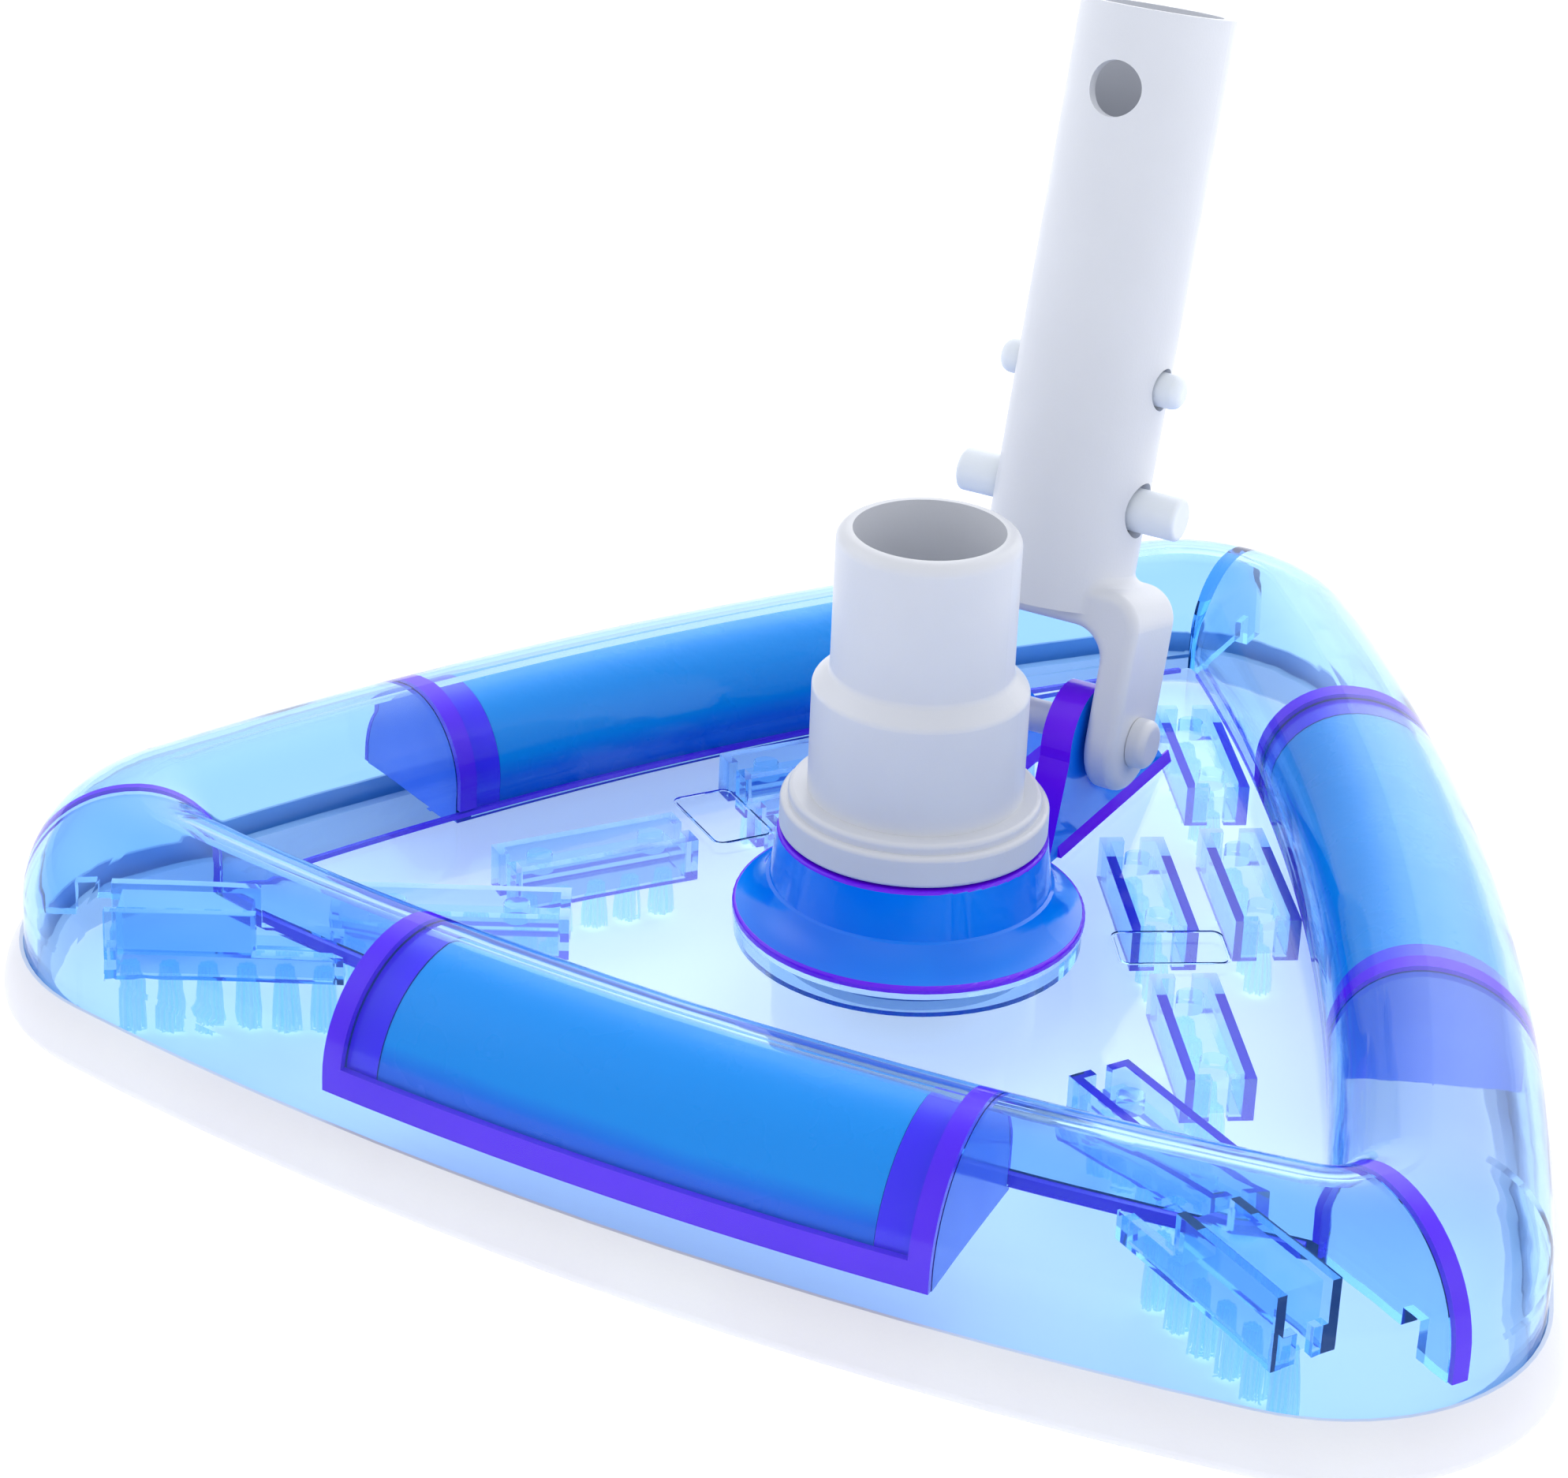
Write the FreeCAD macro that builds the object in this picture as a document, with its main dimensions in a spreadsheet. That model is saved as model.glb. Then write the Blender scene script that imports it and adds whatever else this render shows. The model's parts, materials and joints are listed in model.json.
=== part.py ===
import FreeCAD, Part
import math
import os
import Sketcher
from FreeCAD import Placement, Rotation, Vector

# Manual pool vacuum head: a see-through three-cornered housing on a soft bumper, with three weights,
# twelve brushes, a swivel hose connector and a hinged handle that holds a spring clip.
# Millimetres, +Z up from the floor, +X along the front side, +Y from the front side to the rear corner.
# Everything is drawn about the hose collar's vertical axis, and the finished head is moved along Y so
# that the origin is the centre of its footprint. The handle is drawn upright about its pivot pin.

SIZES = {
    # rounded triangle: d is the distance outside the edge of the flat plate
    "corner_reach": 119.5,
    "corner_radius": 1.0,
    "side_radius": 575.0,
    # plate and domed rim
    "plate_top": 19.6,
    "plate_thick": 2.5,
    "rim_wall": 2.3,
    "rim_foot": 22.0,
    "rim_top": 39.5,
    "rim_crest": 15.0,
    "rim_inner_round": 15.2,
    "rim_outer_round": 20.9,
    "rim_skirt": 36.2,
    "rim_bottom": 3.0,
    # corner ribs
    "rib_thick": 3.0,
    "rib_bottom": 17.4,
    "rib_notch": 20.5,
    "rib_notch_long": 4.0,
    "rib_foot": 14.0,
    "rib_foot_long": 8.0,
    # weight compartments, their covers and the weights
    "bay_bottom": 16.0,
    "bay_half_length": 50.6,
    "bay_end_wall": 3.6,
    "bay_ahead": 2.2,
    "cover_gap": 0.15,
    "cover_wall": 2.0,
    "cover_end": 6.0,
    "cover_lip": 18.2,
    # bumper
    "bumper_top": 11.0,
    "bumper_out": 39.8,
    "bumper_in": 31.6,
    "bumper_lip": 7.5,
    "bumper_belly": 2.6,
    # hose collar
    "collar_bore": 19.1,
    "collar_round": 24.0,
    "collar_top": 35.4,
    "collar_step": 25.6,
    "collar_step_up": 26.0,
    "collar_base": 31.4,
    "collar_base_up": 20.9,
    "collar_cove": 9.0,
    "collar_easing": 0.6,
    "collar_bottom": 13.0,
    "collar_neck": 23.0,
    "collar_skirt": 29.0,
    "collar_skirt_bottom": 13.8,
    "collar_skirt_wall": 2.0,
    # ears
    "ear_inside": 7.7,
    "ear_thick": 6.0,
    "ear_front": 28.0,
    "ear_knee": 34.4,
    "ear_knee_up": 37.8,
    "ear_back": 81.0,
    "ear_round": 9.5,
    "ear_crown": 44.0,
    # pivot
    "pin_back": 46.4,
    "pin_up": 39.2,
    "pin_round": 3.1,
    "pin_ear_hole": 3.2,
    "pin_fork_hole": 3.12,
    "pin_knob_round": 4.6,
    "pin_knob_long": 3.4,
    "pin_snap": 0.7,
    # swivel connector
    "spigot_small": 16.0,
    "spigot_large": 19.0,
    "spigot_bore": 13.2,
    "neck_bore": 15.8,
    "neck_bottom": 10.0,
    "flange_large": 23.7,
    "flange_small": 22.3,
    "flange_bottom": 35.8,
    "flange_middle": 41.6,
    "flange_top": 43.5,
    "shoulder_low": 63.5,
    "shoulder_high": 66.5,
    "spigot_top": 92.5,
    "groove_round": 18.2,
    "groove_low": 10.9,
    "groove_high": 12.7,
    "retainer_round": 23.2,
    # handle, measured up from the pivot
    "handle_lean": 14.7,
    "tube_round": 14.05,
    "tube_bore": 11.7,
    "tube_bottom": 22.5,
    "tube_floor": 30.0,
    "tube_top": 130.1,
    "leg_inside": 14.6,
    "leg_outside": 21.0,
    "leg_half_width": 9.6,
    "leg_easing": 2.0,
    "web_bottom": 20.0,
    "web_round": 6.0,
    "web_top": 27.5,
    "shoulder_round": 6.4,
    "root_round": 2.0,
    "lock_hole_up": 115.6,
    "lock_hole": 5.0,
    # spring clip
    "clip_inside": 8.7,
    "clip_thick": 2.0,
    "clip_half_width": 4.0,
    "clip_bottom": 35.4,
    "clip_hinge": 94.4,
    "clip_gap": 0.3,
    "release_up": 41.6,
    "release_round": 4.0,
    "release_reach": 22.0,
    "release_nose": 0.8,
    "release_hole": 5.1,
    "catch_up": 63.9,
    "catch_round": 3.15,
    "catch_reach": 18.0,
    "catch_nose": 2.0,
    "catch_hole": 3.9,
    # brushes
    "channel_width": 12.0,
    "channel_wall": 1.8,
    "channel_lip": 2.6,
    "channel_bottom": 9.0,
    "block_width": 8.0,
    "block_gap": 0.2,
    "block_thick": 4.6,
    "block_bottom": 9.4,
    "peg_round": 2.4,
    "peg_apart": 22.0,
    "tuft_round": 2.3,
    "tuft_pitch": 6.7,
    "tuft_end": 0.4,
    "edge_bottom": 13.0,
    "edge_top": 26.0,
    "edge_start": 15.0,
    # marks in the plate
    "mark_deep": 0.35,
    "mark_line": 0.5,
}

# Brushes on the right half of the head: middle of the channel, its turn about Z in degrees and its length.
# The left half mirrors them. Edge brushes hang inside the front corners of the rim.
BRUSHES = {
    "rear": (15.5, 91.8, -55.0, 36.0),
    "middle": (31.0, 34.5, -55.0, 36.0),
    "outer": (45.0, 48.0, -55.0, 36.0),
    "front": (60.7, -7.5, -55.0, 36.0),
    "corner": (69.7, -40.2, -30.0, 41.0),
    "edge": (94.5, -73.3, -30.0, 41.0),
}

# Shallow rounded marks in the top of the plate: middle, turn about Z, length and width.
MARKS = {
    "right": (45.5, 12.5, 34.0, 20.0, 12.0),
    "left": (-45.5, 12.5, -34.0, 20.0, 12.0),
    "front": (2.0, -58.0, 0.0, 12.5, 14.0),
}

SIDES = {"front": 0, "right": 120, "left": 240}

document = FreeCAD.newDocument("VacuumHead")
sheet = document.addObject("Spreadsheet::Sheet", "Sizes")
parts = []


class Size:
    """A number together with the expression that gives it from the sheet."""

    def __init__(self, value, text):
        self.value = value
        self.text = text

    def __add__(self, other):
        return combine(self, "+", other)

    def __radd__(self, other):
        return combine(other, "+", self)

    def __sub__(self, other):
        return combine(self, "-", other)

    def __rsub__(self, other):
        return combine(other, "-", self)

    def __mul__(self, other):
        return combine(self, "*", other)

    def __rmul__(self, other):
        return combine(other, "*", self)

    def __truediv__(self, other):
        return combine(self, "/", other)

    def __neg__(self):
        return combine(0.0, "-", self)


def as_size(item):
    if isinstance(item, Size):
        return item
    return Size(float(item), f"({float(item):.9f})")


def combine(left, sign, right):
    left = as_size(left)
    right = as_size(right)
    results = {
        "+": lambda a, b: a + b,
        "-": lambda a, b: a - b,
        "*": lambda a, b: a * b,
        "/": lambda a, b: a / b,
    }
    return Size(results[sign](left.value, right.value), f"({left.text} {sign} {right.text})")


def sine(angle):
    angle = as_size(angle)
    return Size(math.sin(math.radians(angle.value)), f"sin({angle.text})")


def cosine(angle):
    angle = as_size(angle)
    return Size(math.cos(math.radians(angle.value)), f"cos({angle.text})")


def arcsine(ratio):
    """The angle in degrees, as a plain number, as the two functions below also give it."""
    return Size(math.degrees(math.asin(ratio.value)), f"(asin({ratio.text}) / 1 deg)")


def arccosine(ratio):
    return Size(math.degrees(math.acos(ratio.value)), f"(acos({ratio.text}) / 1 deg)")


def arctangent(rise, run):
    return Size(math.degrees(math.atan2(rise.value, run.value)), f"(atan2({rise.text}; {run.text}) / 1 deg)")


def hypotenuse(run, rise):
    return Size(math.hypot(run.value, rise.value), f"hypot({run.text}; {rise.text})")


def add_cell(name, value):
    add_cell.row += 1
    sheet.set(f"A{add_cell.row}", name)
    sheet.set(f"B{add_cell.row}", str(value))
    sheet.setAlias(f"B{add_cell.row}", name)
    return Size(float(value), f"Sizes.{name}")


add_cell.row = 0


class Cells:
    """Every cell of the sheet, as cells.alias."""


cells = Cells()
for cell_name, cell_value in SIZES.items():
    setattr(cells, cell_name, add_cell(cell_name, cell_value))
document.recompute()


def new_body(name):
    body = document.addObject("PartDesign::Body", name)
    body.Label = name
    parts.append(body)
    return body


def origin_feature(body, role):
    return next(item for item in body.Origin.OriginFeatures if item.Role == role)


def new_sketch(body, name, plane, offset=(0.0, 0.0, 0.0), turn=0.0):
    """A sketch on one of the body's origin planes, moved and turned within that plane's own axes."""
    sketch = body.newObject("Sketcher::SketchObject", name)
    sketch.AttachmentSupport = (origin_feature(body, plane), [""])
    sketch.MapMode = "FlatFace"
    offset = [as_size(item) for item in offset]
    base = Vector(*[item.value for item in offset])
    sketch.AttachmentOffset = Placement(base, Rotation(Vector(0, 0, 1), as_size(turn).value))
    for axis, item in zip("xyz", offset):
        if "Sizes" in item.text:
            sketch.setExpression(f".AttachmentOffset.Base.{axis}", item.text)
    return sketch


def bind(sketch, constraint, size):
    """Add a constraint with a datum and bind the datum to the sheet."""
    index = sketch.addConstraint(constraint)
    if "Sizes" in size.text:
        sketch.setExpression(f"Constraints[{index}]", size.text)


def hold_point(sketch, geometry, position, x, y):
    """Fix a point of a sketch at (x, y), keeping every distance positive."""
    for kind, size in (("DistanceX", x), ("DistanceY", y)):
        if size.value >= 0:
            bind(sketch, Sketcher.Constraint(kind, -1, 1, geometry, position, size.value), size)
        else:
            bind(sketch, Sketcher.Constraint(kind, geometry, position, -1, 1, -size.value), -size)


def arc_between(start, end, radius):
    """A short arc; it runs counter-clockwise where the radius is positive, and clockwise where not."""
    chord = end - start
    half = chord.Length / 2
    left = Vector(-chord.y, chord.x, 0).normalize()
    rise = math.sqrt(max(radius * radius - half * half, 0.0))
    centre = (start + end) * 0.5 + left * (rise if radius > 0 else -rise)
    first, last = (start, end) if radius > 0 else (end, start)
    angles = [math.atan2(point.y - centre.y, point.x - centre.x) for point in (first, last)]
    if angles[1] < angles[0]:
        angles[1] += 2 * math.pi
    circle = Part.Circle(centre, Vector(0, 0, 1), abs(radius))
    return Part.ArcOfCircle(circle, angles[0], angles[1])


def draw(sketch, corners):
    """Close an outline through corners (x, y), or (x, y, radius) where an arc leads to the next corner."""
    corners = [tuple(as_size(item) for item in corner) for corner in corners]
    points = [Vector(corner[0].value, corner[1].value, 0) for corner in corners]
    edges = []
    for index, corner in enumerate(corners):
        start = points[index]
        end = points[(index + 1) % len(points)]
        if len(corner) == 3:
            number = sketch.addGeometry(arc_between(start, end, corner[2].value))
            ends = (1, 2) if corner[2].value > 0 else (2, 1)
        else:
            number = sketch.addGeometry(Part.LineSegment(start, end))
            ends = (1, 2)
        edges.append((number, ends))
    for index, corner in enumerate(corners):
        number, ends = edges[index]
        before, before_ends = edges[index - 1]
        sketch.addConstraint(Sketcher.Constraint("Coincident", before, before_ends[1], number, ends[0]))
        hold_point(sketch, number, ends[0], corner[0], corner[1])
        if len(corner) == 3:
            radius = corner[2] if corner[2].value > 0 else -corner[2]
            bind(sketch, Sketcher.Constraint("Radius", number, radius.value), radius)


def draw_circle(sketch, x, y, radius):
    x, y, radius = as_size(x), as_size(y), as_size(radius)
    centre = Vector(x.value, y.value, 0)
    number = sketch.addGeometry(Part.Circle(centre, Vector(0, 0, 1), radius.value))
    hold_point(sketch, number, 3, x, y)
    bind(sketch, Sketcher.Constraint("Radius", number, radius.value), radius)


def extrude(body, name, sketch, length, cut=False, symmetric=False, flipped=False):
    feature = body.newObject("PartDesign::Pocket" if cut else "PartDesign::Pad", name)
    feature.Profile = sketch
    length = as_size(length)
    feature.Length = length.value
    if "Sizes" in length.text:
        feature.setExpression("Length", length.text)
    if symmetric:
        feature.SideType = "Symmetric"
    feature.Reversed = flipped
    sketch.Visibility = False
    return feature


def revolve(body, name, sketch, angle=360.0, cut=False):
    """Turn a sketch about its own vertical axis, half of the angle to each side."""
    feature = body.newObject("PartDesign::Groove" if cut else "PartDesign::Revolution", name)
    feature.Profile = sketch
    feature.ReferenceAxis = (sketch, ["V_Axis"])
    angle = as_size(angle)
    feature.Angle = angle.value
    if "Sizes" in angle.text:
        feature.setExpression("Angle", angle.text)
    feature.Midplane = angle.value < 360
    return feature


def repeat_thrice(body, name, features):
    """Repeat features on the three sides or corners."""
    pattern = body.newObject("PartDesign::PolarPattern", name)
    pattern.Originals = features
    pattern.Axis = (origin_feature(body, "Z_Axis"), [""])
    pattern.Angle = 360
    pattern.Occurrences = 3
    body.Tip = pattern
    return pattern


def mirror(body, name, features, plane="YZ_Plane"):
    pattern = body.newObject("PartDesign::Mirrored", name)
    pattern.Originals = features
    pattern.MirrorPlane = (origin_feature(body, plane), [""])
    body.Tip = pattern
    return pattern


# The rounded triangle. Each side bulges about a far centre, and the corners are rounded about near ones.
half_side = arcsine(cells.corner_reach * sine(60) / (cells.side_radius - cells.corner_radius))
half_corner = 60 - half_side
side_centre = (cells.side_radius - cells.corner_radius) * cosine(half_side) - cells.corner_reach / 2

# Height at which the dome meets the rim's outer wall.
shoulder_up = cells.rim_top - cells.rim_outer_round


def triangle(offset):
    """Corners of the rounded triangle that lies a distance outside the plate's edge."""
    corners = []
    for direction in (90, 210, 330):
        for sign, radius in ((-1, cells.corner_radius + offset), (1, cells.side_radius + offset)):
            turn = direction + sign * half_corner
            x = cells.corner_reach * cosine(direction) + (cells.corner_radius + offset) * cosine(turn)
            y = cells.corner_reach * sine(direction) + (cells.corner_radius + offset) * sine(turn)
            corners.append((x, y, radius))
    return corners


def sweep_side(body, name, section, angle, ahead=0.0, cut=False):
    """Carry a section, given as (d, height), along the front side by an angle about the side's centre.

    The middle of the sweep lies an angle ahead of the middle of the side.
    """
    sketch = new_sketch(body, f"{name}_section", "YZ_Plane", (side_centre, 0.0, 0.0))
    swing = Rotation(Vector(0, 1, 0), as_size(ahead).value)
    sketch.AttachmentOffset = Placement(sketch.AttachmentOffset.Base, swing)
    corners = []
    for corner in section:
        x = -(cells.side_radius + corner[0])
        arc = tuple(-as_size(item) for item in corner[2:])
        corners.append((x, corner[1]) + arc)
    draw(sketch, corners)
    return revolve(body, name, sketch, angle, cut)


def sweep_corner(body, name, section, angle):
    """Carry a section, given as (d, height), round the rear corner."""
    sketch = new_sketch(body, f"{name}_section", "YZ_Plane", (cells.corner_reach, 0.0, 0.0))
    draw(sketch, [(cells.corner_radius + corner[0],) + tuple(corner[1:]) for corner in section])
    return revolve(body, name, sketch, angle)


def sweep_round(body, name, section):
    """Carry a section all the way round the triangle."""
    corner = sweep_corner(body, f"{name}_corner", section, 2 * half_corner)
    side = sweep_side(body, f"{name}_side", section, 2 * half_side)
    return repeat_thrice(body, name, [corner, side])


def dome(inset, bottom):
    """The filled section under the rim's dome, a distance inside its outer surface, down to a level."""
    inner = cells.rim_inner_round - inset
    outer = cells.rim_outer_round - inset
    outside = cells.rim_crest + outer
    return [
        (inset, bottom),
        (inset, cells.rim_foot, -inner),
        (cells.rim_crest, cells.rim_top - inset, -outer),
        (outside, shoulder_up),
        (outside, bottom),
    ]


def rim_section():
    """The rim's shell: inner foot, dome, and the nearly upright outer wall down into the bumper."""
    wall = cells.rim_wall
    outside = cells.rim_crest + cells.rim_outer_round
    return [
        (0.0, cells.plate_top - cells.plate_thick),
        (0.0, cells.rim_foot, -cells.rim_inner_round),
        (cells.rim_crest, cells.rim_top, -cells.rim_outer_round),
        (outside, shoulder_up),
        (cells.rim_skirt, cells.rim_bottom),
        (cells.rim_skirt - wall, cells.rim_bottom),
        (outside - wall, shoulder_up, cells.rim_outer_round - wall),
        (cells.rim_crest, cells.rim_top - wall, cells.rim_inner_round - wall),
        (wall, cells.rim_foot),
        (wall, cells.plate_top - cells.plate_thick),
    ]


def sweep_bay(body, name, section, inset, cut=False):
    """Carry a section along a compartment, stopping a distance inside its end walls."""
    middle = cells.side_radius + cells.rim_crest
    half = arcsine((cells.bay_half_length - inset) / middle)
    ahead = arcsine(cells.bay_ahead / middle)
    return sweep_side(body, name, section, 2 * half, ahead, cut)


def slab(across, up):
    """A rectangle, from its two limits across and its two limits up."""
    return [(across[0], up[0]), (across[1], up[0]), (across[1], up[1]), (across[0], up[1])]


def rebated(section, lip_up, lip_wide):
    """A dome section with a step cut out of its lower outer corner, over a cover's lip."""
    outside, low = section[-1]
    inside = outside - lip_wide
    return section[:-1] + [(outside, lip_up), (inside, lip_up), (inside, low)]


def add_plate(body):
    sketch = new_sketch(body, "plate_outline", "XY_Plane", (0.0, 0.0, cells.plate_top - cells.plate_thick))
    draw(sketch, triangle(cells.rim_wall))
    extrude(body, "plate", sketch, cells.plate_thick)


def add_bays(body):
    """Three compartments under the dome: end walls, closed by the dome and open below."""
    solid = dome(cells.rim_wall / 2, cells.bay_bottom)
    wall = sweep_bay(body, "bay_wall", solid, -cells.bay_end_wall)
    room = dome(cells.rim_wall, cells.bay_bottom - 1)
    hollow = sweep_bay(body, "bay_room", room, 0.0, cut=True)
    repeat_thrice(body, "bays", [wall, hollow])


def add_ribs(body):
    """A web across each corner of the rim, notched near its outer end."""
    outline = dome(cells.rim_wall / 2, cells.rib_bottom)
    outside = outline[-1][0]
    foot = outside - cells.rib_foot_long
    notch = foot - cells.rib_notch_long
    outline[-1] = (outside, cells.rib_foot)
    outline += [(foot, cells.rib_foot), (foot, cells.rib_notch), (notch, cells.rib_notch),
                (notch, cells.rib_bottom)]
    sketch = new_sketch(body, "rib_outline", "YZ_Plane", (cells.corner_reach, 0.0, 0.0))
    draw(sketch, [(cells.corner_radius + corner[0],) + tuple(corner[1:]) for corner in outline])
    rib = extrude(body, "rib", sketch, cells.rib_thick, symmetric=True)
    repeat_thrice(body, "ribs", [rib])


def channel_wall(long, side):
    """One wall of a brush channel, with the short lips at its ends; side is 1 or -1."""
    outside = side * cells.channel_width / 2
    inside = side * (cells.channel_width / 2 - cells.channel_wall)
    lip = side * (cells.channel_width / 2 - cells.channel_wall - cells.channel_lip)
    end = long / 2
    turn_in = end - cells.channel_wall
    return [(-end, outside), (end, outside), (end, lip), (turn_in, lip),
            (turn_in, inside), (-turn_in, inside), (-turn_in, lip), (-end, lip)]


def add_edge_box(body, x, y, turn, long):
    """The taller walls of an edge channel, which stand inside the rim."""
    sketch = new_sketch(body, "edge_box_outline", "XY_Plane", (x, y, cells.edge_bottom), turn)
    half = cells.channel_width / 2
    inner = half - cells.channel_wall
    start = cells.edge_start - long / 2
    draw(sketch, slab((start, long / 2), (inner, half)))
    draw(sketch, slab((start, long / 2), (-half, -inner)))
    return extrude(body, "edge_box", sketch, cells.edge_top - cells.edge_bottom)


def add_channels(body):
    """Channels under the plate that the brush blocks slide into."""
    walls = []
    for name, (x, y, turn, long) in brushes.items():
        low = cells.edge_bottom if name == "edge" else cells.channel_bottom
        sketch = new_sketch(body, f"channel_{name}_outline", "XY_Plane", (x, y, low), turn)
        draw(sketch, channel_wall(long, 1))
        draw(sketch, channel_wall(long, -1))
        tall = cells.plate_top - cells.plate_thick / 2 - low
        walls.append(extrude(body, f"channel_{name}", sketch, tall))
        if name == "edge":
            walls.append(add_edge_box(body, x, y, turn, long))
    mirror(body, "channels", walls)


def add_collar(body):
    """The ring that the swivel connector turns in, with a cove outside and a skirt below the plate."""
    buried = cells.plate_top - cells.plate_thick / 2
    base = cells.collar_base
    easing = cells.collar_easing
    skirt = cells.collar_skirt
    skirt_low = cells.collar_skirt_bottom
    step_easing = cells.collar_easing / 2
    sketch = new_sketch(body, "collar_section", "XZ_Plane")
    draw(sketch, [
        (cells.collar_bore, cells.collar_bottom),
        (cells.collar_neck, cells.collar_bottom),
        (cells.collar_neck, buried),
        (skirt, buried),
        (skirt, skirt_low),
        (skirt + cells.collar_skirt_wall, skirt_low),
        (skirt + cells.collar_skirt_wall, buried),
        (base, buried),
        (base, cells.collar_base_up - easing, easing),
        (base - easing, cells.collar_base_up, -cells.collar_cove),
        (cells.collar_step, cells.collar_step_up),
        (cells.collar_step - easing, cells.collar_step_up + step_easing),
        (cells.collar_round, cells.collar_top - easing, easing),
        (cells.collar_round - easing, cells.collar_top),
        (cells.collar_bore, cells.collar_top),
    ])
    revolve(body, "collar", sketch)
    bore = new_sketch(body, "bore_outline", "XY_Plane")
    draw_circle(bore, 0.0, 0.0, cells.collar_bore)
    extrude(body, "bore", bore, 3 * cells.collar_top, cut=True, symmetric=True)


def touch(centre, radius, point, sign):
    """The place where a line from a point touches a circle, on one side or the other."""
    run = point[0] - centre[0]
    rise = point[1] - centre[1]
    angle = arctangent(rise, run) + sign * arccosine(radius / hypotenuse(run, rise))
    return centre[0] + radius * cosine(angle), centre[1] + radius * sine(angle)


def add_ears(body):
    """Two ears behind the collar that carry the pin, with round tops."""
    root = cells.plate_top - cells.plate_thick / 2
    knee = (cells.ear_knee, cells.ear_knee_up)
    heel = (cells.ear_back, root)
    crown = (cells.ear_crown, cells.pin_up)
    sketch = new_sketch(body, "ear_outline", "YZ_Plane", (0.0, 0.0, cells.ear_inside))
    draw(sketch, [
        (cells.ear_front, root),
        knee,
        touch(crown, cells.ear_round, knee, -1) + (-cells.ear_round,),
        touch(crown, cells.ear_round, heel, 1),
        heel,
    ])
    ear = extrude(body, "ear", sketch, cells.ear_thick)
    mirror(body, "ears", [ear])
    hole = new_sketch(body, "pin_hole_outline", "YZ_Plane")
    draw_circle(hole, cells.pin_back, cells.pin_up, cells.pin_ear_hole)
    extrude(body, "pin_hole", hole, 4 * (cells.ear_inside + cells.ear_thick), cut=True, symmetric=True)


def rounded_rectangle(half_x, half_y, corner):
    return [
        (half_x - corner, -half_y, corner), (half_x, corner - half_y),
        (half_x, half_y - corner, corner), (half_x - corner, half_y),
        (corner - half_x, half_y, corner), (-half_x, half_y - corner),
        (-half_x, corner - half_y, corner), (corner - half_x, -half_y),
    ]


def add_marks(body):
    """Shallow rounded marks in the plate's top face."""
    for name, (x, y, turn, long, wide) in MARKS.items():
        place = (add_cell(f"mark_{name}_across", x), add_cell(f"mark_{name}_back", y),
                 cells.plate_top - cells.mark_deep)
        sketch = new_sketch(body, f"mark_{name}_outline", "XY_Plane", place, turn)
        line = cells.mark_line
        draw(sketch, rounded_rectangle(long / 2, wide / 2, 2.0))
        draw(sketch, rounded_rectangle(long / 2 - line, wide / 2 - line, 2.0 - line))
        extrude(body, f"mark_{name}", sketch, 5.0, cut=True, flipped=True)


def make_housing():
    body = new_body("housing")
    add_plate(body)
    sweep_round(body, "rim", rim_section())
    add_bays(body)
    add_ribs(body)
    add_channels(body)
    add_collar(body)
    add_ears(body)
    add_marks(body)
    place(body)


def make_bumper():
    """The soft strip; the rim's lower edge sits in its slot."""
    gap = 0.1
    wall = cells.rim_wall
    slope = (cells.rim_skirt - cells.rim_crest - cells.rim_outer_round) / (shoulder_up - cells.rim_bottom)
    at_top = cells.rim_skirt - slope * (cells.bumper_top - cells.rim_bottom) + gap
    at_lip = cells.rim_skirt - wall - slope * (cells.bumper_lip - cells.rim_bottom) - gap
    body = new_body("bumper")
    sweep_round(body, "strip", [
        (at_top, cells.bumper_top),
        (cells.rim_skirt + gap, cells.rim_bottom - gap),
        (cells.rim_skirt - wall - gap, cells.rim_bottom - gap),
        (at_lip, cells.bumper_lip),
        (cells.bumper_in, cells.bumper_lip),
        (cells.bumper_in, 0.8),
        (cells.bumper_in + 0.8, 0.0),
        (cells.bumper_out - 1.8, 0.0, 2.8),
        (cells.bumper_out, cells.bumper_belly, 14.0),
        (at_top + 0.7, cells.bumper_top),
    ])
    place(body)


def make_cover(side, turn):
    """A tray that closes a weight compartment from below: floor, outer lip and two end walls."""
    body = new_body(f"weight_cover_{side}")
    gap = cells.cover_gap
    inset = cells.rim_wall + gap
    low = cells.bay_bottom + gap
    over = 1.0
    sweep_bay(body, "block", dome(inset, low), gap)
    room = rebated(dome(inset - over, low + cells.cover_wall), cells.cover_lip, cells.cover_wall + over)
    sweep_bay(body, "room", room, gap + cells.cover_end, cut=True)
    place(body, Placement(Vector(), Rotation(Vector(0, 0, 1), turn)))


def make_weight(side, turn):
    """A dipped iron bar with the dome's own section."""
    body = new_body(f"weight_{side}")
    gap = cells.cover_gap
    low = cells.bay_bottom + cells.cover_wall + 2 * gap
    section = rebated(dome(cells.rim_wall + 2 * gap, low), cells.cover_lip + gap, cells.cover_wall)
    sweep_bay(body, "bar", section, 2 * gap + cells.cover_end)
    place(body, Placement(Vector(), Rotation(Vector(0, 0, 1), turn)))


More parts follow.
